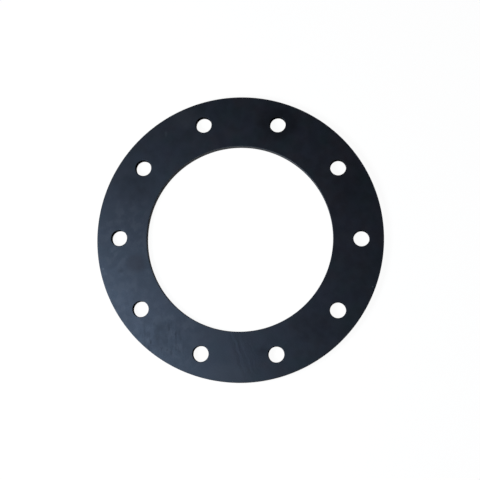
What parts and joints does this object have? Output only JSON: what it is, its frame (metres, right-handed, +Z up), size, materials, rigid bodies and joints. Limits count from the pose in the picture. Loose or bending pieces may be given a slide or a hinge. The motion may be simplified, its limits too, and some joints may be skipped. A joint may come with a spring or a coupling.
{
  "type": "fuel sump gasket",
  "caption": "Flat ring gasket cut from black rubber sheet, with a wide bore and an even circle of bolt holes, that seals a bolted flange on a fuel tank's sump.",
  "frame": {"origin": "centre of the bore on the lower face", "axes": "+Z up along the bore axis, +X from the bore axis through the centre of one bolt hole"},
  "size_m": [0.245, 0.245, 0.008],
  "materials": {
    "rubber": "matte"
  },
  "bodies": {
    "root": {"gasket": "rubber"}
  },
  "joints": []
}
